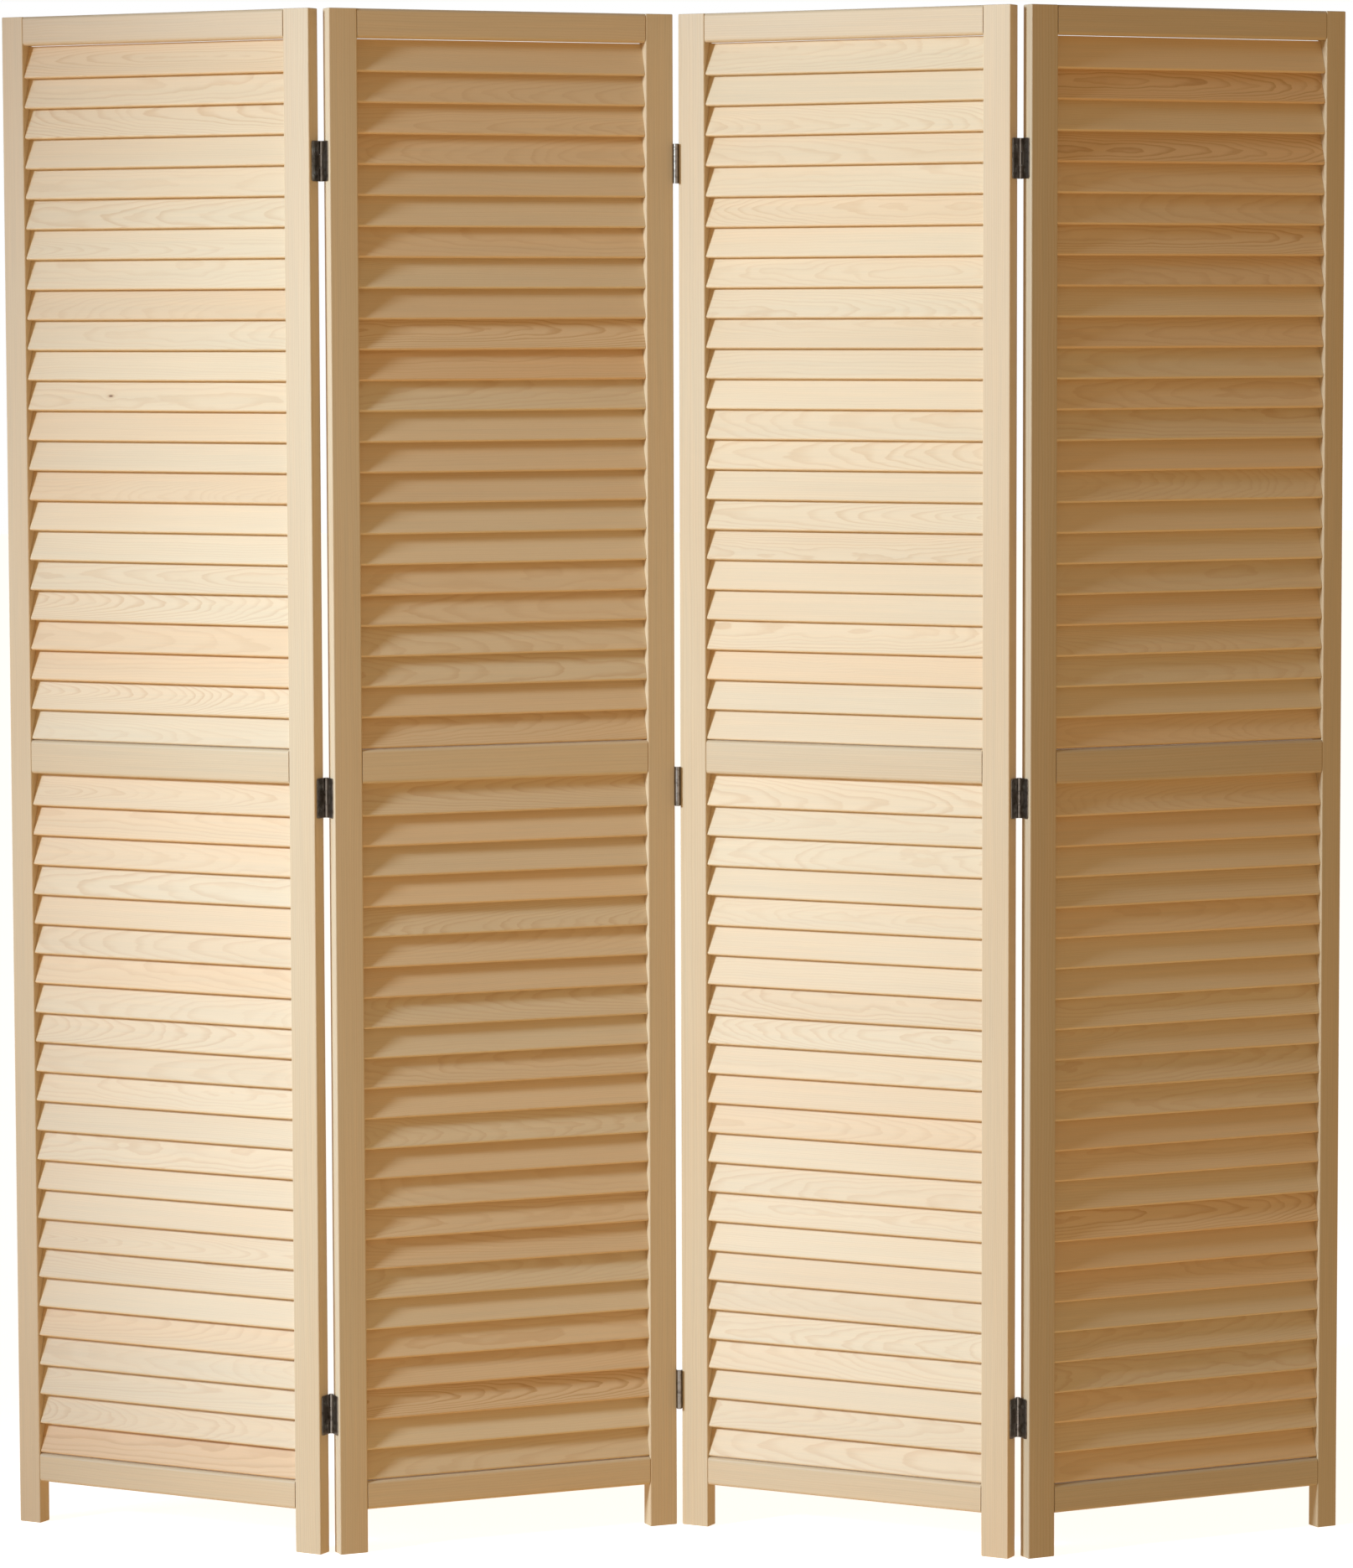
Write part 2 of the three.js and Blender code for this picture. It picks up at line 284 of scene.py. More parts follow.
def seen_directly(paint):
    """1 for what the camera, a reflection or a clear surface sees, 0 for what lights things."""
    rays = paint.node("ShaderNodeLightPath").socket.node.outputs
    seen = [Value(paint, rays[name]) for name in
            ("Is Camera Ray", "Is Glossy Ray", "Is Transmission Ray")]
    either = seen[0].maths("MAXIMUM", seen[0], seen[1])
    return either.maths("MAXIMUM", either, seen[2])


def make_sky():
    """White to the eye, and a warm fill to the screen."""
    world = bpy.data.worlds.new("room")
    bpy.context.scene.world = world
    paint = Paint(world, "ShaderNodeOutputWorld")
    fill = paint.node("ShaderNodeBackground", sockets={"Color": SKY_FILL, "Strength": 1.0})
    white = paint.node("ShaderNodeBackground", sockets={"Color": WHITE, "Strength": 1.0})
    sockets = {0: seen_directly(paint), 1: fill, 2: white}
    paint.finish(paint.node("ShaderNodeMixShader", sockets=sockets))


def glowing(paint, shade, glow, strength):
    """A dull surface that also gives off some light."""
    dull = paint.node("ShaderNodeBsdfDiffuse", sockets={"Color": shade})
    light = paint.node("ShaderNodeEmission", sockets={"Color": glow, "Strength": strength})
    return paint.node("ShaderNodeAddShader", sockets={0: dull, 1: light})


def make_floor():
    """Pale to the eye, and warm in what it sends up to the screen."""
    floor = add(bpy.ops.mesh.primitive_plane_add, "floor", size=FLOOR_SIZE)
    material = bpy.data.materials.new("pale_floor")
    paint = Paint(material)
    bounce = glowing(paint, FLOOR_BOUNCE, FLOOR_FILL, 1.0)
    pale = glowing(paint, WHITE, WHITE, FLOOR_GLOW)
    sockets = {0: seen_directly(paint), 1: bounce, 2: pale}
    paint.finish(paint.node("ShaderNodeMixShader", sockets=sockets))
    floor.data.materials.append(material)


def hang_lamp(lamp, place, aim):
    holder = bpy.data.objects.new(lamp.name, lamp)
    bpy.context.scene.collection.objects.link(holder)
    holder.location = place
    holder.rotation_euler = (place - aim).to_track_quat("Z", "Y").to_euler()


def make_lamps():
    """The key lights the panels that face left, fades towards the screen's upper left corner
    and rakes the rest. The window lamp, cooler and further round, reaches hardly more than
    the panels that face left."""
    key = bpy.data.lights.new("key_lamp", "SPOT")
    key.energy = KEY_POWER
    key.color = KEY_COLOUR
    key.shadow_soft_size = KEY_RADIUS
    key.spot_size = KEY_SPREAD
    key.spot_blend = KEY_SOFTNESS
    hang_lamp(key, KEY_PLACE, KEY_AIM)
    window = bpy.data.lights.new("window_lamp", "AREA")
    window.energy = WINDOW_POWER
    window.color = WINDOW_COLOUR
    window.shape = "DISK"
    window.size = WINDOW_WIDTH
    hang_lamp(window, WINDOW_PLACE, WINDOW_AIM)


# ------------------------------------------------------------------ pine

# Pine is drawn from how the tree grew. Each board carries, at every point of its mesh and
# in millimetres, its place in the board and where the heart of the tree ran beside it.

CREAM_WOOD = colour(0.80, 0.645, 0.435)
PINK_WOOD = colour(0.80, 0.545, 0.31)
LATE_WOOD = colour(0.60, 0.36, 0.165)
# A knot's two stains: the colour and the strength of each, and how far out it is full and how
# far out it ends, in squared sizes of the knot
KNOT_HALO = (colour(0.50, 0.27, 0.11), 0.35, 0.1, 1.2)
KNOT_HEART = (colour(0.16, 0.07, 0.03), 0.9, 0.02, 0.25)

# Noise drawn out along the grain: features per millimetre along it and across it, and a
# start that no other has
SWAY = (0.006, 0.012, 3.0)  # long bends of the rings
SIDE_SWAY = (0.006, 0.012, 40.0)
RIPPLE = (0.022, 0.08, 11.0)  # short ones
FIBRE = (0.012, 1.3, 5.0)
STREAK = (0.006, 0.22, 17.0)
CLOUD = (0.004, 0.02, 23.0)
CANAL = (0.10, 2.6, 31.0)  # resin canals
CANAL_START, CANAL_FULL = 0.17, 0.27  # how strong that noise is where a canal shows

SWAY_DEPTH, SIDE_SWAY_DEPTH, RIPPLE_DEPTH = 8, 6, 2.4  # millimetres
CROWDING_SCALE = 0.11  # changes per millimetre in how closely the rings lie
CROWDING = 1.6  # and how far they push a ring out of its place, in rings
LATE_START, LATE_PEAK = 0.42, 0.90  # where in a year's ring the late wood starts, and is darkest
WEAKEST_YEAR = 0.35  # the palest late wood, where the darkest is 1
KNOT_WIDTH = 0.45  # a knot's width, where its length along the grain is 1
KNOT_SWIRL = 1.4  # how far the rings bend round a knot, where its size is 1

# What the markings add to the wood's warmth, lightness, roughness and relief
CLOUD_WARMTH, STREAK_WARMTH = 0.5, 0.25
FIBRE_LIGHT, STREAK_LIGHT, CANAL_LIGHT = 0.12, 0.12, -0.06
PINE_ROUGHNESS, FIBRE_ROUGHNESS, LATE_ROUGHNESS = 0.5, 0.2, -0.06
FIBRE_RELIEF, LATE_RELIEF, CANAL_RELIEF = 0.5, 0.35, -0.3
PINE_RELIEF, PINE_RELIEF_DEPTH = 0.35, 0.12 * MM
PINE_GLOSS = 0.22


class BoardPaint(Paint):
    """The nodes of the pine, which read how each board was cut from its tree."""

    def __init__(self, material):
        super().__init__(material)
        self.along, self.across, self.through = self.split("grain")
        self.heart_across, self.heart_through, self.slope = self.split("heart")
        self.middle, self.bow, self.ring_width = self.split("rings")
        self.warmth, self.lightness, self.figure = self.split("tone")
        self.knot_along, self.knot_across, self.knot_size = self.split("knot")
        # A number that differs from board to board
        self.seed = self.heart_across * 3.7 + self.heart_through * 1.9

    def drawn_noise(self, scales, detail=2.0, roughness=0.5):
        along_scale, across_scale, start = scales
        place = self.join(self.along * along_scale + start,
                          self.across * across_scale + self.seed,
                          self.through * across_scale)
        return self.noise(place, detail, roughness)

    def knot_distance(self):
        """The square of how far the knot is, in sizes of the knot."""
        along = (self.along - self.knot_along) * KNOT_WIDTH
        across = self.across - self.knot_across
        return (along ** 2 + across ** 2) / (self.knot_size * self.knot_size)

    def ring_count(self, knot_distance):
        """How many rings lie between the heart of the tree and this point."""
        run = self.along - self.middle
        bend = self.slope * run + self.bow * run * run
        sway = self.drawn_noise(SWAY) * SWAY_DEPTH + self.drawn_noise(RIPPLE) * RIPPLE_DEPTH
        swirl = self.knot_size * KNOT_SWIRL / (1 + knot_distance * knot_distance)
        side = self.across - self.heart_across + self.drawn_noise(SIDE_SWAY) * SIDE_SWAY_DEPTH
        deep = self.through - self.heart_through + bend + sway + swirl
        radius = (side * side + deep * deep) ** 0.5
        crowding = self.noise(self.join(radius * CROWDING_SCALE, self.seed, 0.0), 1.0) * CROWDING
        return radius / self.ring_width + crowding

    def late_wood(self, rings):
        """The dark line that ends each year's ring, stronger in some years than in others."""
        phase = rings.maths("FRACT", rings)
        year = rings - phase
        vigour = self.node("ShaderNodeTexWhiteNoise", {"noise_dimensions": "1D"},
                           {"W": year + self.seed}, output="Value")
        line = self.rise(phase, LATE_START, LATE_PEAK) * (1 - self.rise(phase, LATE_PEAK, 1.0))
        return line * (WEAKEST_YEAR + (1 - WEAKEST_YEAR) * vigour) * self.figure

    def stained(self, wood, knot_distance, shade, strength, full, end):
        """The wood with one of a knot's stains on it."""
        return self.mix((1 - self.rise(knot_distance, full, end)) * strength, wood, shade)


def make_pine():
    material = bpy.data.materials.new("clear_pine")
    paint = BoardPaint(material)
    knot_distance = paint.knot_distance()
    late = paint.late_wood(paint.ring_count(knot_distance))
    fibre = paint.drawn_noise(FIBRE, detail=3.0, roughness=0.6)
    streak = paint.drawn_noise(STREAK)
    cloud = paint.drawn_noise(CLOUD, detail=1.0)
    canal = paint.rise(paint.drawn_noise(CANAL, detail=1.0), CANAL_START, CANAL_FULL)

    warmth = paint.warmth + cloud * CLOUD_WARMTH + streak * STREAK_WARMTH
    light = (1 + paint.lightness
             + fibre * FIBRE_LIGHT + streak * STREAK_LIGHT + canal * CANAL_LIGHT)
    wood = paint.mix(late, paint.mix(warmth, CREAM_WOOD, PINK_WOOD), LATE_WOOD)
    wood = paint.scaled(wood, light)
    wood = paint.stained(wood, knot_distance, *KNOT_HALO)
    wood = paint.stained(wood, knot_distance, *KNOT_HEART)

    relief = fibre * FIBRE_RELIEF + late * LATE_RELIEF + canal * CANAL_RELIEF
    sockets = {
        "Base Color": wood,
        "Roughness": PINE_ROUGHNESS + fibre * FIBRE_ROUGHNESS + late * LATE_ROUGHNESS,
        "Normal": paint.bump(relief, PINE_RELIEF, PINE_RELIEF_DEPTH),
        "Specular IOR Level": PINE_GLOSS,
    }
    paint.finish(paint.node("ShaderNodeBsdfPrincipled", sockets=sockets))
    return material


# ------------------------------------------------------------------ steel

# The leaves' steel and its tarnish are darker and browner than the screws': partly the plate's
# own colour, partly painted dark reflection in place of dim surroundings that the white sky
# doesn't give
LEAF_STEEL, LEAF_TARNISH = colour(0.25, 0.215, 0.18), colour(0.12, 0.095, 0.075)
SCREW_STEEL, SCREW_TARNISH = colour(0.42, 0.40, 0.36), colour(0.2, 0.17, 0.14)
LEAF_ROUGHNESS, SCREW_ROUGHNESS = 0.34, 0.3
PATCH_SCALE, GRAIN_SCALE = 180, 2500  # features per metre
PATCH_START, PATCH_FULL = -0.05, 0.2  # how strong the patches' noise is where tarnish shows
PATCH_ROUGHNESS, GRAIN_ROUGHNESS = 0.2, 0.12
STEEL_RELIEF, STEEL_RELIEF_DEPTH = 0.2, 0.04 * MM


def make_steel(name, base, tarnish, roughness):
    """Plated steel, with a faint tarnish in patches."""
    material = bpy.data.materials.new(name)
    paint = Paint(material)
    place = paint.node("ShaderNodeTexCoord", output="Object")
    patch = paint.noise(paint.scaled(place, PATCH_SCALE), detail=3.0, roughness=0.6)
    grain = paint.noise(paint.scaled(place, GRAIN_SCALE))
    dulled = paint.rise(patch, PATCH_START, PATCH_FULL)
    sockets = {
        "Base Color": paint.mix(dulled, base, tarnish),
        "Metallic": 1.0,
        "Roughness": roughness + patch * PATCH_ROUGHNESS + grain * GRAIN_ROUGHNESS,
        "Normal": paint.bump(grain, STEEL_RELIEF, STEEL_RELIEF_DEPTH),
    }
    paint.finish(paint.node("ShaderNodeBsdfPrincipled", sockets=sockets))
    return material


# ------------------------------------------------------------------ modelling by hand


def near(first, second):
    """Whether two coordinates are the same."""
    return abs(first - second) < SAME_PLACE


def runs_along(way, axis):
    """Whether a direction is that of an axis, or close to it."""
    return abs(way[axis]) > ALIGNED


def pick(piece):
    """Makes this the only piece that an operator acts on."""
    bpy.ops.object.select_all(action="DESELECT")
    piece.select_set(True)
    bpy.context.view_layer.objects.active = piece


def settle(piece):
    """Moves a piece's place, turn and size into its mesh."""
    pick(piece)
    bpy.ops.object.transform_apply(location=True, rotation=True, scale=True)


def add(primitive, name, **sizes):
    """Adds a primitive to work on, with nothing else selected."""
    bpy.ops.object.select_all(action="DESELECT")
    primitive(**sizes)
    piece = bpy.context.object
    piece.name = name
    settle(piece)
    return piece


def add_block(name, low, high):
    low, high = Vector(low), Vector(high)
    return add(bpy.ops.mesh.primitive_cube_add, name,
               size=1, location=(low + high) / 2, scale=high - low)


def select_edges(piece, wanted):
    """Goes into edit mode with the edges selected that wanted(middle, way) picks."""
    pick(piece)
    bpy.ops.object.mode_set(mode="EDIT")
    bpy.ops.mesh.select_mode(type="EDGE")
    bpy.ops.mesh.select_all(action="DESELECT")
    mesh = bmesh.from_edit_mesh(piece.data)
    for edge in mesh.edges:
        start, end = (corner.co for corner in edge.verts)
        edge.select_set(bool(wanted((start + end) / 2, (end - start).normalized())))
    bmesh.update_edit_mesh(piece.data)


def select_faces(piece, wanted):
    """Goes into edit mode with the faces selected whose normal wanted(normal) picks."""
    pick(piece)
    bpy.ops.object.mode_set(mode="EDIT")
    bpy.ops.mesh.select_mode(type="FACE")
    bpy.ops.mesh.select_all(action="DESELECT")
    mesh = bmesh.from_edit_mesh(piece.data)
    for face in mesh.faces:
        face.select_set(bool(wanted(face.normal)))
    bmesh.update_edit_mesh(piece.data)


def round_edges(piece, wanted, radius, steps):
    select_edges(piece, wanted)
    bpy.ops.mesh.bevel(offset=radius, segments=steps, profile=0.5, affect="EDGES")
    bpy.ops.object.mode_set(mode="OBJECT")


def apply_modifier(piece, kind, **settings):
    pick(piece)
    modifier = piece.modifiers.new(kind.lower(), kind)
    for name, setting in settings.items():
        setattr(modifier, name, setting)
    bpy.ops.object.modifier_apply(modifier=modifier.name)


def discard(piece):
    mesh = piece.data
    bpy.data.objects.remove(piece)
    bpy.data.meshes.remove(mesh)


def combine(piece, other, operation):
    """Cuts the other out of the piece, or welds it on, and throws the other away."""
    apply_modifier(piece, "BOOLEAN", operation=operation, solver="MANIFOLD", object=other)
    discard(other)


def copy_of(piece, name):
    copy = piece.copy()
    copy.data = piece.data.copy()
    copy.name = name
    bpy.context.scene.collection.objects.link(copy)
    return copy


def join_all(pieces, name):
    """Makes one piece of several, in the given order."""
    pick(pieces[0])
    for piece in pieces[1:]:
        piece.select_set(True)
    bpy.ops.object.join()
    pieces[0].name = name
    return pieces[0]


def smooth(piece, angle):
    pick(piece)
    bpy.ops.object.shade_smooth_by_angle(angle=math.radians(angle))
    apply_modifier(piece, "WEIGHTED_NORMAL", keep_sharp=True)


def finish_piece(piece, place, material, body, nodes):
    """Sets a finished piece in its place, and tells what it stands for and rides on."""
    piece.matrix_world = place @ piece.matrix_world
    settle(piece)
    piece.data.materials.clear()
    piece.data.materials.append(material)
    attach(piece, body)
    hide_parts(*nodes)


# ------------------------------------------------------------------ boards


def hold(piece, name, vectors):
    """Keeps a vector under this name at each point of the mesh."""
    held = piece.data.attributes.get(name)
    if held is None:
        held = piece.data.attributes.new(name, "FLOAT_VECTOR", "POINT")
    held.data.foreach_set("vector", [number for vector in vectors for number in vector])


def measure_grain(piece, upright=False):
    """Keeps each point's place in its board: along the grain, across it, and through it."""
    corners = [Vector(corner) for corner in piece.bound_box]
    centre = sum(corners, Vector()) / len(corners)
    axes = (Z, X, Y) if upright else (X, Z, Y)
    places = [(vertex.co - centre) / MM for vertex in piece.data.vertices]
    hold(piece, "grain", [[place[axis] for axis in axes] for place in places])


# What each panel's frame and slats add to the wood's own lightness: partly the boards' own tone,
# partly painted shade. Panel_4, which the key lamp hardly reaches, gets extra painted shade in
# its frame and its slats
FRAME_TONE_AND_PAINTED_SHADE = {"panel_1": -0.14, "panel_2": -0.13, "panel_3": -0.15, "panel_4": -0.27}
SLAT_TONE_AND_PAINTED_SHADE = {"panel_1": 0.0, "panel_2": 0.0, "panel_3": 0.0, "panel_4": -0.04}
# The share of a panel's slats that are pinker than the rest, partly painted light: the panels
# that face the key lamp get fewer pink slats, as if strong light washed the pink out, and the
# shaded panels get more, for their warm shade
PINK_SHARES = {"panel_1": 0.14, "panel_2": 0.42, "panel_3": 0.10, "panel_4": 0.42}
FLAT_SAWN_SHARE = 0.62
NO_KNOT = (0.0, 400.0, 1.0)  # one that lies far outside the board


class Board:
    """How one board was cut from its tree, in millimetres, and how it looks. The heart is
    given across the board and through it, and slope and bow are how it runs past the board.
    A knot is its place along the board and across it, and its size."""

    def __init__(self, heart, slope, bow, ring_width, warmth, lightness, figure,
                 middle=0.0, knot=NO_KNOT):
        self.held = {
            "heart": (*heart, slope),
            "rings": (middle, bow, ring_width),
            "tone": (warmth, lightness, figure),
            "knot": knot,
        }

    def mark(self, piece):
        for name, vector in self.held.items():
            hold(piece, name, [vector] * len(piece.data.vertices))


def either_way(chance, low, high):
    """A number from low to high, or as far below zero."""
    return chance.choice((-1, 1)) * chance.uniform(low, high)


def straight_board(chance, shade):
    """A quarter-sawn board, whose rings show as straight lines."""
    return Board(
        heart=(either_way(chance, 45, 120), chance.uniform(-70, 70)),
        slope=chance.uniform(-0.006, 0.006),
        bow=chance.uniform(-4e-6, 4e-6),
        ring_width=chance.uniform(1.9, 3.4),
        warmth=chance.uniform(0.12, 0.32),
        lightness=shade + chance.uniform(-0.015, 0.015),
        figure=chance.uniform(0.14, 0.26),
        middle=chance.uniform(-300, 300),
    )


def slat_board(chance, pink_share, shade):
    """A slat: flat-sawn more often than not, some of them pinker than the rest."""
    flat = chance.random() < FLAT_SAWN_SHARE
    if flat:
        heart = (chance.uniform(-14, 14), either_way(chance, 14, 60))
    else:
        heart = (either_way(chance, 30, 90), either_way(chance, 5, 70))
    pink = chance.random() < pink_share
    return Board(
        heart=heart,
        slope=either_way(chance, 0.01, 0.06) if flat else chance.uniform(-0.012, 0.012),
        bow=either_way(chance, 1e-5, 1.2e-4),
        ring_width=chance.uniform(1.2, 2.4),
        warmth=chance.uniform(0.36, 0.60) if pink else chance.uniform(0.03, 0.24),
        lightness=shade + chance.uniform(-0.045, 0.01),
        figure=chance.uniform(0.20, 0.45) if flat else chance.uniform(0.12, 0.28),
        middle=chance.uniform(-120, 120),
    )


# Slats that stand out in the photograph, by panel, row and count from the bottom
SHOWN_SLATS = {
    ("panel_1", "lower", 0): Board(
        heart=(10, -42), slope=0.012, bow=2e-5, ring_width=2.4,
        warmth=0.95, lightness=-0.06, figure=0.60),
    ("panel_1", "upper", 1): Board(
        heart=(4, -30), slope=0.090, bow=4e-5, ring_width=1.4,
        warmth=0.20, lightness=0.0, figure=0.50, middle=60),
    ("panel_1", "upper", 2): Board(
        heart=(20, -45), slope=0.010, bow=3e-5, ring_width=2.0,
        warmth=0.62, lightness=0.0, figure=0.28),
    ("panel_1", "upper", 4): Board(
        heart=(6, -24), slope=0.075, bow=5e-5, ring_width=1.7,
        warmth=0.16, lightness=0.0, figure=0.42, middle=-60),
    ("panel_1", "upper", 11): Board(
        heart=(-8, -40), slope=0.010, bow=4e-5, ring_width=2.2,
        warmth=0.14, lightness=0.0, figure=0.25, knot=(-62.0, -2.0, 3.0)),
    ("panel_2", "lower", 2): Board(
        heart=(0, -22), slope=0.040, bow=5e-5, ring_width=1.5,
        warmth=0.62, lightness=-0.03, figure=0.90, middle=20),
    ("panel_2", "upper", 12): Board(
        heart=(20, -40), slope=0.010, bow=3e-5, ring_width=1.9,
        warmth=0.85, lightness=-0.02, figure=0.40, middle=40),
    ("panel_2", "upper", 13): Board(
        heart=(3, -22), slope=0.035, bow=9e-5, ring_width=1.6,
        warmth=0.45, lightness=0.0, figure=0.80, middle=40),
    ("panel_3", "upper", 17): Board(
        heart=(1, -30), slope=0.0, bow=1.5e-4, ring_width=1.3,
        warmth=0.30, lightness=0.0, figure=0.42, middle=85),
    ("panel_4", "lower", 8): Board(
        heart=(4, -26), slope=0.030, bow=1e-4, ring_width=1.7,
        warmth=0.60, lightness=-0.02, figure=0.75, middle=-30),
    ("panel_4", "upper", 16): Board(
        heart=(3, -24), slope=0.030, bow=0.8e-4, ring_width=1.7,
        warmth=0.55, lightness=-0.02, figure=0.75, middle=90),
    ("panel_4", "upper", 19): Board(
        heart=(-5, -26), slope=0.045, bow=1.0e-4, ring_width=1.5,
        warmth=0.90, lightness=-0.06, figure=0.85, middle=60),
    ("panel_4", "upper", 21): Board(
        heart=(2, -22), slope=0.020, bow=1.4e-4, ring_width=1.5,
        warmth=0.95, lightness=-0.05, figure=0.95, middle=-40),
}

# ------------------------------------------------------------------ panels


def pin_of(fold):
    joint = next(joint for joint in frame["joints"] if joint["name"] == fold)
    return Vector((joint["pos_m"][0], joint["pos_m"][1], 0))


def turn_of(panel):
    return Matrix.Rotation(math.radians(PANEL_TURNS[panel]), 4, "Z")


def reach(node, place):
    """Lowest and highest corner of a node in the frame that place sets."""
    back = place.inverted()
    points = [back @ vertex.co for vertex in frame["nodes"][node].data.vertices]
    low = Vector(min(point[axis] for point in points) for axis in (X, Y, Z))
    high = Vector(max(point[axis] for point in points) for axis in (X, Y, Z))
    return low, high


class Panel:
    """One panel's sizes in its own frame, read from the solids."""

    def __init__(self, name):
        self.name = name
        self.place = Matrix.Translation(pin_of(PANEL_FOLDS[name])) @ turn_of(name)
        self.low = reach(f"{name}_left_stile_with_slats", self.place)[0]
        self.high = reach(f"{name}_right_stile", self.place)[1]
        self.rails = {rail: reach(f"{name}_{rail}", self.place) for rail in RAILS}
        rail_low, rail_high = self.rails["middle_rail"]
        self.opening = (rail_low.x + TENON_LENGTH, rail_high.x - TENON_LENGTH)

    def row_middles(self):
        """The heights of the middle of the lower row of slats and of the upper one."""
        feet = [self.rails[rail][1].z for rail in ("bottom_rail", "middle_rail")]
        tops = [self.rails[rail][0].z for rail in ("middle_rail", "top_rail")]
        return [(foot + top) / 2 for foot, top in zip(feet, tops)]

    def slat_middle(self):
        """Where between the panel's faces the middle of its slats lies."""
        front, back = SLAT_SETBACKS
        return (self.low.y + front + self.high.y - back) / 2

    def slat_lean(self):
        """The lean at which a slat's eased edges fill the depth between its setbacks."""
        depth = self.high.y - self.low.y - sum(SLAT_SETBACKS)
        width = SLAT_WIDTH - 2 * SLAT_LEAN_EASE
        diagonal = math.hypot(width, SLAT_THICKNESS)
        return math.asin(depth / diagonal) - math.atan2(SLAT_THICKNESS, width)

    def mortise_span(self, side, depth):
        """Where along the width a cutter runs that makes a mortise of this depth in a stile."""
        left, right = self.opening
        if side == "left":
            return left - depth - FIT_GAP, left + CUT_MARGIN
        return right - CUT_MARGIN, right + depth + FIT_GAP


panels = {name: Panel(name) for name in PANEL_TURNS}


def make_slat(name, length, lean, grown=0.0):
    """A slat about the origin, lower edge forward, or when grown, a cutter for its mortise."""
    half = Vector((length, SLAT_THICKNESS + 2 * grown, SLAT_WIDTH + 2 * grown)) / 2
    slat = add_block(name, -half, half)

    def nose(middle, way):
        return runs_along(way, X) and middle.y * middle.z > 0

    def arris(middle, way):
        return runs_along(way, X) and middle.y * middle.z < 0

    round_edges(slat, nose, SLAT_NOSE + grown, steps=4)
    round_edges(slat, arris, SLAT_EASE + grown, steps=2)
    measure_grain(slat)
    slat.rotation_euler = (-lean, 0, 0)
    settle(slat)
    return slat


def slat_mortises(panel, side):
    """A cutter for the mortises of both rows in one stile."""
    start, end = panel.mortise_span(side, SLAT_HOUSING)
    cutter = make_slat("slat_mortises", end - start, panel.slat_lean(), grown=FIT_GAP)
    lower, upper = panel.row_middles()
    lowest = lower - (SLATS_PER_ROW - 1) / 2 * SLAT_PITCH
    for count, step in ((SLATS_PER_ROW, SLAT_PITCH), (2, upper - lower)):
        apply_modifier(cutter, "ARRAY", count=count, use_relative_offset=False,
                       use_constant_offset=True, constant_offset_displace=(0, 0, step))
    cutter.location = ((start + end) / 2, panel.slat_middle(), lowest)
    settle(cutter)
    return cutter


def tenon_mortise(panel, side, rail):
    start, end = panel.mortise_span(side, TENON_LENGTH)
    low, high = panel.rails[rail]
    inset = TENON_SHOULDER - FIT_GAP
    return add_block("tenon_mortise", (start, low.y + inset, low.z + inset),
                     (end, high.y - inset, high.z - inset))


def make_stile(panel, side, screw_holes):
    """An upright with its mortises, rounded along its edges."""
    low, high = panel.low.copy(), panel.high.copy()
    if side == "left":
        high.x = panel.opening[0]
    else:
        low.x = panel.opening[1]
    stile = add_block(f"{panel.name}_{side}_stile_pine", low, high)

    def long_edge(middle, way):
        return runs_along(way, Z)

    def end_edge(middle, way):
        return near(middle.z, low.z) or near(middle.z, high.z)

    round_edges(stile, long_edge, STILE_EASE, steps=3)
    round_edges(stile, end_edge, STILE_END_EASE, steps=2)
    combine(stile, slat_mortises(panel, side), "DIFFERENCE")
    for rail in RAILS:
        combine(stile, tenon_mortise(panel, side, rail), "DIFFERENCE")
    for hole in screw_holes:
        combine(stile, hole, "DIFFERENCE")
    return stile


def make_rail(panel, rail):
    """A rail with a stub tenon on each end."""
    low, high = panel.rails[rail]
    start, end = panel.opening[0] + FIT_GAP, panel.opening[1] - FIT_GAP
    piece = add_block(f"{panel.name}_{rail}_pine", (start, low.y, low.z), (end, high.y, high.z))
    for side, tip in ((-1, low.x - start), (1, high.x - end)):
        select_faces(piece, lambda normal: normal.x * side > ALIGNED)
        bpy.ops.mesh.inset(thickness=TENON_SHOULDER)
        bpy.ops.mesh.extrude_region_move(TRANSFORM_OT_translate={"value": (tip, 0, 0)})
        bpy.ops.object.mode_set(mode="OBJECT")

    def long_edge(middle, way):
        return runs_along(way, X) and (near(middle.y, low.y) or near(middle.y, high.y))

    def tenon_edge(middle, way):
        return near(middle.x, low.x) or near(middle.x, high.x)

    round_edges(piece, long_edge, RAIL_EASE, steps=4)
    round_edges(piece, tenon_edge, TENON_EASE, steps=1)
    return piece


def make_slat_row(panel, row, middle, slat, chance):
    """A row of copies of one slat, each marked as a board of its own."""
    slats = []
    for index in range(SLATS_PER_ROW):
        copy = copy_of(slat, "slat")
        board = slat_board(chance, PINK_SHARES[panel.name], SLAT_TONE_AND_PAINTED_SHADE[panel.name])
        board = SHOWN_SLATS.get((panel.name, row, index), board)
        board.mark(copy)
        height = middle + (index - (SLATS_PER_ROW - 1) / 2) * SLAT_PITCH
        copy.location = (sum(panel.opening) / 2, panel.slat_middle(), height)
        settle(copy)
        slats.append(copy)
    return join_all(slats, f"{panel.name}_{row}_slats")


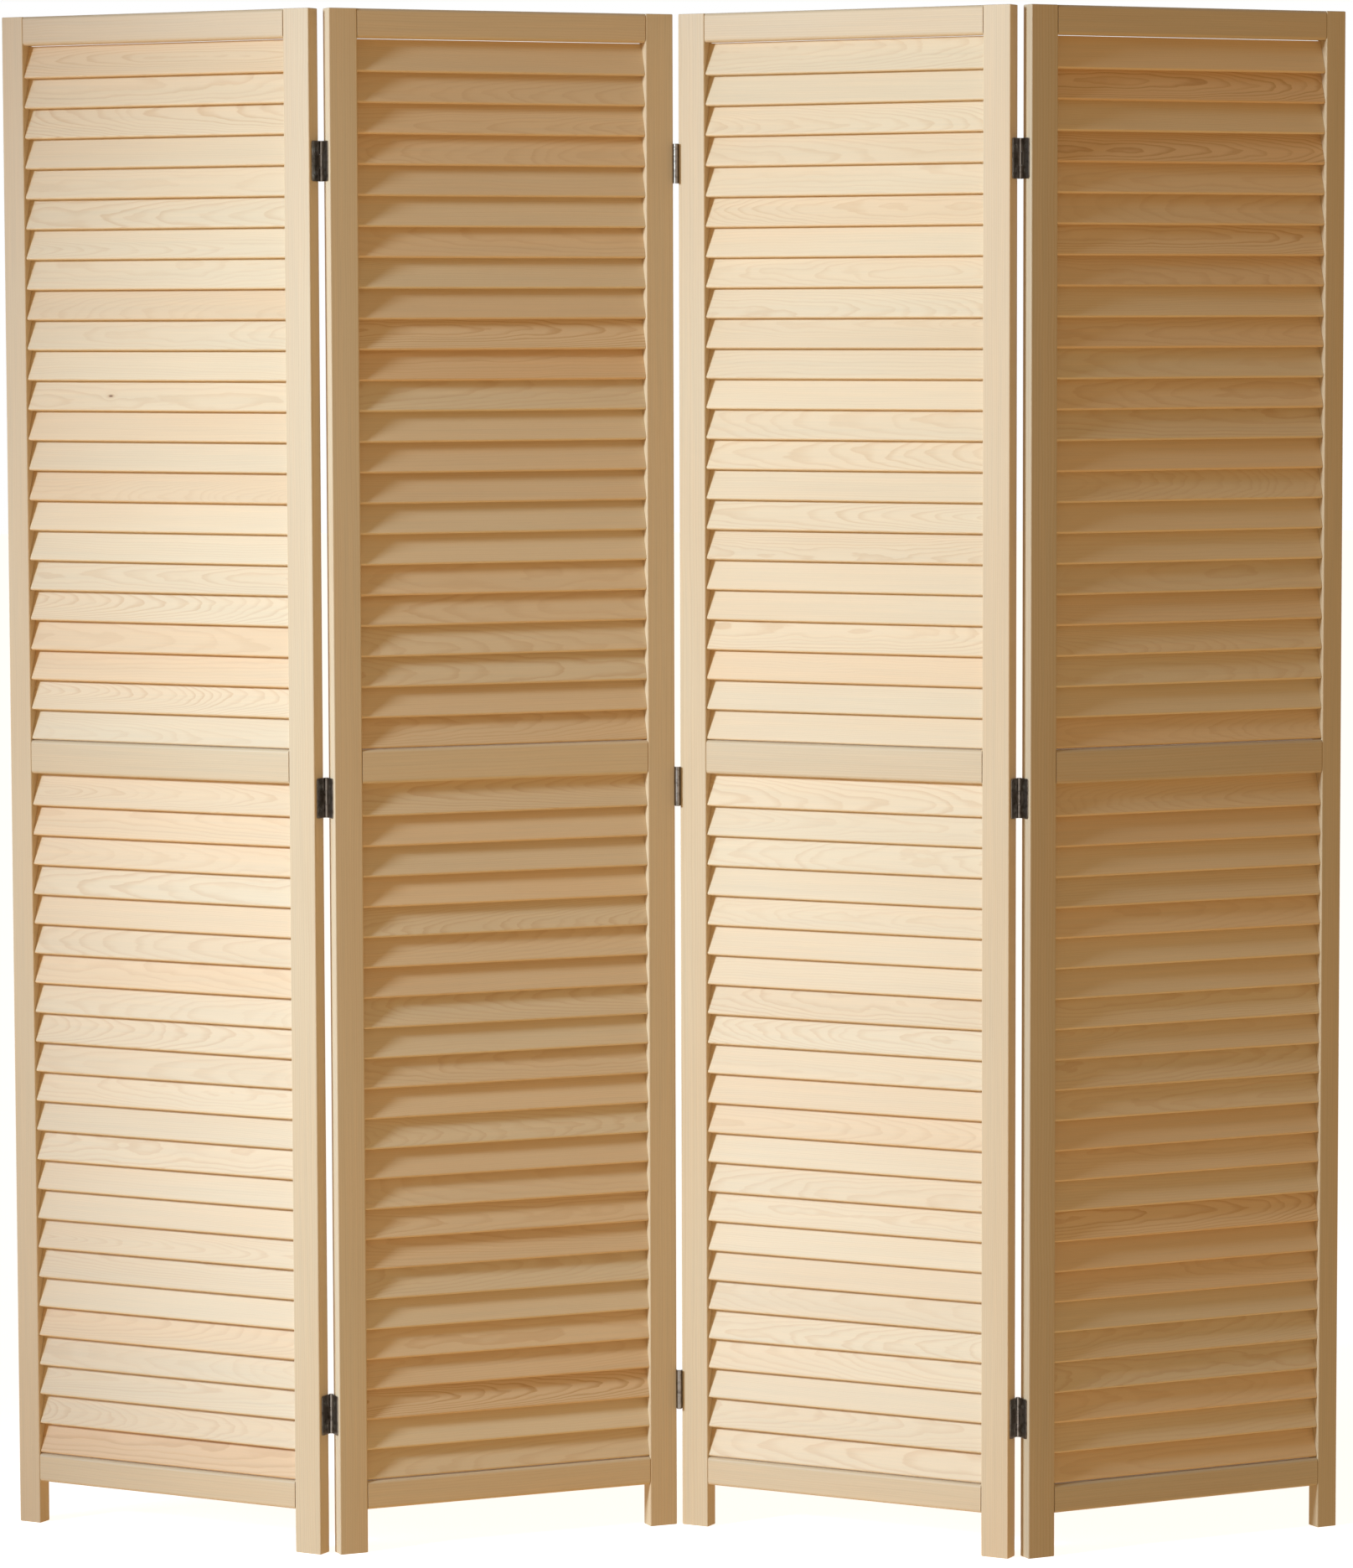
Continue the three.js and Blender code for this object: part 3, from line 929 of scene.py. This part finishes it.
def make_panel(panel, pine, chance, screw_holes):
    def finish(piece, *nodes):
        smooth(piece, WOOD_SMOOTHING)
        finish_piece(piece, panel.place, pine, panel.name, nodes)

    slatted_stile = f"{panel.name}_left_stile_with_slats"
    for side, node in (("left", slatted_stile), ("right", f"{panel.name}_right_stile")):
        stile = make_stile(panel, side, screw_holes[panel.name, side])
        measure_grain(stile, upright=True)
        straight_board(chance, FRAME_TONE_AND_PAINTED_SHADE[panel.name]).mark(stile)
        finish(stile, node)
    for rail in RAILS:
        piece = make_rail(panel, rail)
        measure_grain(piece)
        straight_board(chance, FRAME_TONE_AND_PAINTED_SHADE[panel.name]).mark(piece)
        finish(piece, f"{panel.name}_{rail}")
    length = panel.opening[1] - panel.opening[0] + 2 * SLAT_HOUSING
    slat = make_slat("slat", length, panel.slat_lean())
    for row, middle in zip(("lower", "upper"), panel.row_middles()):
        finish(make_slat_row(panel, row, middle, slat, chance), slatted_stile)
    discard(slat)


# ------------------------------------------------------------------ hinges

# A hinge is made about its pin: Z along the pin, the stile's edge on the -X side and the
# panel's body towards -Y.

KNUCKLE_BORE = PIN_RADIUS + FIT_GAP
KNUCKLE_RADIUS = KNUCKLE_BORE + KNUCKLE_WALL
KNUCKLE_LENGTH = (HINGE_HEIGHT - (KNUCKLE_COUNT - 1) * FIT_GAP) / KNUCKLE_COUNT
LEAF_OUTER = -FIT_GAP
LEAF_INNER = LEAF_OUTER - LEAF_THICKNESS
LEAF_ROOT = -KNUCKLE_RADIUS - FIT_GAP
PANEL_THICKNESS = panels["panel_1"].high.y - panels["panel_1"].low.y
LEAF_FREE = LEAF_ROOT - PANEL_THICKNESS + LEAF_SETBACK
SCREW_LINE = (LEAF_FREE + LEAF_ROOT) / 2
SCREW_HEIGHTS = (-SCREW_SPACING / 2, SCREW_SPACING / 2)
SCREW_FACE = LEAF_OUTER - SCREW_SINK


def make_knuckle(foot):
    """One roll of the barrel: a strip spun about the pin, open at its seam."""
    knuckle = add(bpy.ops.mesh.primitive_plane_add, "knuckle", size=1)
    knuckle.scale = (KNUCKLE_WALL, KNUCKLE_LENGTH, 1)
    knuckle.rotation_euler = (math.radians(90), 0, 0)
    knuckle.location = ((KNUCKLE_BORE + KNUCKLE_RADIUS) / 2, 0, foot + KNUCKLE_LENGTH / 2)
    settle(knuckle)
    bpy.ops.object.mode_set(mode="EDIT")
    bpy.ops.mesh.select_all(action="SELECT")
    bpy.ops.mesh.spin(steps=KNUCKLE_STEPS, dupli=False, angle=2 * math.pi - KNUCKLE_SEAM,
                      center=(0, 0, 0), axis=(0, 0, 1))
    bpy.ops.mesh.select_all(action="SELECT")
    bpy.ops.mesh.remove_doubles(threshold=SAME_POINT)
    bpy.ops.mesh.fill_holes(sides=0)
    bpy.ops.mesh.normals_make_consistent(inside=False)
    bpy.ops.object.mode_set(mode="OBJECT")
    knuckle.rotation_euler = (0, 0, KNUCKLE_START)
    settle(knuckle)
    return knuckle


def add_cone(name, wide, narrow, start, end, height, sides=SCREW_SIDES):
    """A round solid along X in the line of the screws, wide at its +X end."""
    return add(bpy.ops.mesh.primitive_cone_add, name, vertices=sides,
               radius1=narrow, radius2=wide, depth=end - start,
               location=((start + end) / 2, SCREW_LINE, height),
               rotation=(0, math.radians(90), 0))


def countersink(height):
    """A cutter for the hole of one screw in a leaf."""
    margin = CUT_MARGIN / 2
    spread = margin * (SCREW_HEAD_RADIUS - SCREW_SHANK_RADIUS) / LEAF_THICKNESS
    return add_cone("countersink", SCREW_HEAD_RADIUS + SCREW_CLEARANCE + spread,
                    SCREW_SHANK_RADIUS + SCREW_CLEARANCE - spread,
                    LEAF_INNER - margin, LEAF_OUTER + margin, height)


def make_leaf(own_knuckles):
    """A leaf with its own knuckles rolled round the pin and two countersunk holes."""
    half = HINGE_HEIGHT / 2
    leaf = add_block("leaf", (LEAF_INNER, LEAF_FREE, -half), (LEAF_OUTER, LEAF_ROOT, half))

    def free_corner(middle, way):
        return runs_along(way, X) and near(middle.y, LEAF_FREE)

    def outline(middle, way):
        return near(middle.x, LEAF_OUTER) and not near(middle.y, LEAF_ROOT)

    round_edges(leaf, free_corner, LEAF_CORNER, steps=6)
    round_edges(leaf, outline, LEAF_EDGE_EASE, steps=2)
    for index in own_knuckles:
        foot = index * (KNUCKLE_LENGTH + FIT_GAP) - half
        tab = add_block("tab", (LEAF_INNER, LEAF_ROOT - TAB_OVERLAP, foot),
                        (LEAF_OUTER, -KNUCKLE_BORE - TAB_SETBACK, foot + KNUCKLE_LENGTH))
        combine(leaf, tab, "UNION")
        combine(leaf, make_knuckle(foot), "UNION")
    for height in SCREW_HEIGHTS:
        combine(leaf, countersink(height), "DIFFERENCE")
    return leaf


def make_pin():
    pin = add(bpy.ops.mesh.primitive_cylinder_add, "pin",
              vertices=PIN_SIDES, radius=PIN_RADIUS, depth=HINGE_HEIGHT)

    def end_edge(middle, way):
        return near(abs(middle.z), HINGE_HEIGHT / 2)

    round_edges(pin, end_edge, PIN_END_EASE, steps=3)
    return pin


def recess_arm(height, turn):
    """A cutter for one of the two slots of a screw's cross recess."""
    half = Vector((RECESS_DEPTH, RECESS_SPAN / 2, RECESS_WIDTH / 2))
    arm = add_block("recess_arm", -half, half)

    def inner_end(middle, way):
        return runs_along(way, Z) and near(middle.x, -RECESS_DEPTH)

    round_edges(arm, inner_end, RECESS_EASE, steps=2)
    arm.rotation_euler = (math.radians(turn), 0, 0)
    arm.location = (SCREW_FACE, SCREW_LINE, height)
    settle(arm)
    return arm


def make_screw(height, turn):
    """A countersunk screw with a cross recess in its head."""
    head_foot = SCREW_FACE - LEAF_THICKNESS
    screw = add_cone("screw", SCREW_HEAD_RADIUS, SCREW_SHANK_RADIUS,
                     head_foot, SCREW_FACE, height)

    def rim(middle, way):
        return near(middle.x, SCREW_FACE)

    round_edges(screw, rim, SCREW_RIM_EASE, steps=2)
    shank = add_cone("shank", SCREW_SHANK_RADIUS, SCREW_TIP_RADIUS,
                     SCREW_FACE - SCREW_LENGTH, head_foot + SHANK_OVERLAP, height)
    combine(screw, shank, "UNION")
    for arm_turn in (turn, turn + 90):
        combine(screw, recess_arm(height, arm_turn), "DIFFERENCE")
    return screw


def pilot_holes(place):
    """Cutters for the two screws' holes in the stile."""
    holes = []
    for height in SCREW_HEIGHTS:
        hole = add_cone("pilot_hole", SCREW_SHANK_RADIUS + PILOT_CLEARANCE, PILOT_TIP_RADIUS,
                        LEAF_INNER - SCREW_LENGTH, LEAF_INNER + FIT_GAP, height, PILOT_SIDES)
        hole.matrix_world = place @ hole.matrix_world
        settle(hole)
        holes.append(hole)
    return holes


def leaf_turn(side, face):
    """Turns a leaf from the way it is made to the side and face that it lies on."""
    half_turn = math.pi
    if side == "left":
        return Matrix.Rotation(0 if face == "back" else half_turn, 4, "X")
    over = Matrix.Rotation(half_turn if face == "back" else 0, 4, "X")
    return over @ Matrix.Rotation(half_turn, 4, "Z")


def hinge_sides():
    """The two sides of every hinge: the hinge's name, the side and its panel, the middle of
    the pin, and the turn of that side's leaf."""
    for fold, (left, right, face) in FOLDS.items():
        for name in HINGES:
            low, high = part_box(f"{fold}_{name}_hinge_pin")
            middle = pin_of(fold) + Vector((0, 0, (low.z + high.z) / 2))
            for side, panel in (("left", left), ("right", right)):
                yield f"{fold}_{name}", side, panel, middle, leaf_turn(side, face)


def all_pilot_holes():
    """Cutters for each stile, in its panel's own frame, by panel and side."""
    holes = {(name, side): [] for name in panels for side in ("left", "right")}
    for _, side, panel, middle, turn in hinge_sides():
        stand = Matrix.Translation(panels[panel].place.inverted() @ middle)
        stile = "right" if side == "left" else "left"
        holes[panel, stile] += pilot_holes(stand @ turn)
    return holes


def make_hinges(steel, screw_steel):
    """Every hinge from one model of each of its pieces."""
    knuckles = range(KNUCKLE_COUNT)
    models = {
        "left": make_leaf(knuckles[0::2]),
        "right": make_leaf(knuckles[1::2]),
        "pin": make_pin(),
        "screws": join_all([make_screw(*each) for each in zip(SCREW_HEIGHTS, SCREW_TURNS)],
                           "screws"),
    }
    for model in models.values():
        smooth(model, STEEL_SMOOTHING)
    for hinge, side, panel, middle, turn in hinge_sides():
        place = Matrix.Translation(middle) @ turn_of(panel) @ turn
        leaf = copy_of(models[side], f"{hinge}_{side}_leaf")
        finish_piece(leaf, place, steel, panel, [f"{hinge}_hinge_{side}_leaf"])
        screws = copy_of(models["screws"], f"{hinge}_{side}_screws")
        finish_piece(screws, place, screw_steel, panel, [])
        if side == "left":
            pin = copy_of(models["pin"], f"{hinge}_pin")
            finish_piece(pin, place, steel, panel, [f"{hinge}_hinge_pin"])
    for model in models.values():
        discard(model)


# ------------------------------------------------------------------ the screen

bpy.context.scene.view_settings.view_transform = "Standard"
make_camera()
make_sky()
make_floor()
make_lamps()

chance = random.Random(7)
pine = make_pine()
holes = all_pilot_holes()
for panel in panels.values():
    make_panel(panel, pine, chance, holes)
steel = make_steel("plated_steel", LEAF_STEEL, LEAF_TARNISH, LEAF_ROUGHNESS)
screw_steel = make_steel("screw_steel", SCREW_STEEL, SCREW_TARNISH, SCREW_ROUGHNESS)
make_hinges(steel, screw_steel)
